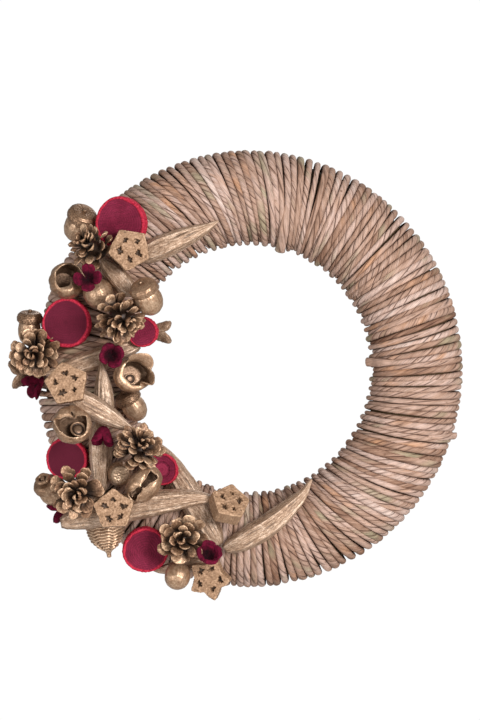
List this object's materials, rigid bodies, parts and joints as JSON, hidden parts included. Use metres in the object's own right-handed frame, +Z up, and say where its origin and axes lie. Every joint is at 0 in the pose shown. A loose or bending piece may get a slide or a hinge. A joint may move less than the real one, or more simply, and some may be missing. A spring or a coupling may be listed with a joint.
{
  "type": "harvest door wreath",
  "caption": "Round door wreath: a straw ring wound with husk cord, with gold and burgundy dried fruits, cones and wood slices glued along its left side.",
  "frame": {"origin": "the top of the ring's hole, half way through the ring's depth, where the nail or hook carries the wreath", "axes": "+X to the right seen from the front, +Y towards the door, +Z up; the front looks along -Y"},
  "size_m": [0.3132, 0.1104, 0.3075],
  "materials": {
    "husk_cord": "twisted maize husk, matt to slightly waxy, pinkish tan with greenish and orange patches",
    "straw_core": "bound straw, matt, hidden by the cord",
    "dyed_wood": "sawn branch slice dyed burgundy, matt face, brighter red bark rim",
    "gold_cone": "open cone brushed with gold paint, dark between the scales",
    "gold_pod": "ridged dried pod, satin gold paint over fibres",
    "gold_pith": "corky cut pod, dull gold paint, dark seed holes",
    "gold_shell": "smooth nut or shell in satin gold paint",
    "burgundy_husk": "bristly beech husk dyed burgundy, matt"
  },
  "bodies": {
    "root": {"base_ring": "straw_core", "cord_wrap_01": "husk_cord", "cord_wrap_02": "husk_cord", "cord_wrap_03": "husk_cord", "cord_wrap_04": "husk_cord", "cord_wrap_05": "husk_cord", "cord_wrap_06": "husk_cord", "cord_wrap_07": "husk_cord", "cord_wrap_08": "husk_cord", "cord_wrap_09": "husk_cord", "cord_wrap_10": "husk_cord", "wood_slice_01": "dyed_wood", "wood_slice_02": "dyed_wood", "wood_slice_03": "dyed_wood", "wood_slice_04": "dyed_wood", "wood_slice_05": "dyed_wood", "wood_slice_06": "dyed_wood", "pine_cone_01": "gold_cone", "pine_cone_02": "gold_cone", "pine_cone_03": "gold_cone", "pine_cone_04": "gold_cone", "pine_cone_05": "gold_cone", "pine_cone_06": "gold_cone", "okra_slice_01": "gold_pith", "okra_slice_02": "gold_pith", "okra_slice_03": "gold_pith", "okra_slice_04": "gold_pith", "okra_slice_05": "gold_pith", "okra_pod_01": "gold_pod", "okra_pod_02": "gold_pod", "okra_pod_03": "gold_pod", "okra_pod_04": "gold_pod", "okra_pod_05": "gold_pod", "okra_pod_06": "gold_pod", "okra_pod_07": "gold_pod", "okra_pod_08": "gold_pod", "okra_pod_09": "gold_pod", "okra_pod_10": "gold_pod", "acorn_01": "gold_shell", "acorn_02": "gold_shell", "acorn_03": "gold_shell", "acorn_04": "gold_shell", "acorn_05": "gold_shell", "acorn_cup": "gold_shell", "hazelnut_01": "gold_shell", "hazelnut_02": "gold_shell", "hazelnut_03": "gold_shell", "seed_husk_01": "gold_shell", "seed_husk_02": "gold_shell", "seed_husk_03": "gold_shell", "seed_husk_04": "gold_shell", "burgundy_husk_01": "burgundy_husk", "burgundy_husk_02": "burgundy_husk", "burgundy_husk_03": "burgundy_husk", "burgundy_husk_04": "burgundy_husk", "burgundy_husk_05": "burgundy_husk", "burgundy_husk_06": "burgundy_husk", "gold_husk_01": "gold_pod", "gold_husk_02": "gold_pod"}
  },
  "joints": []
}
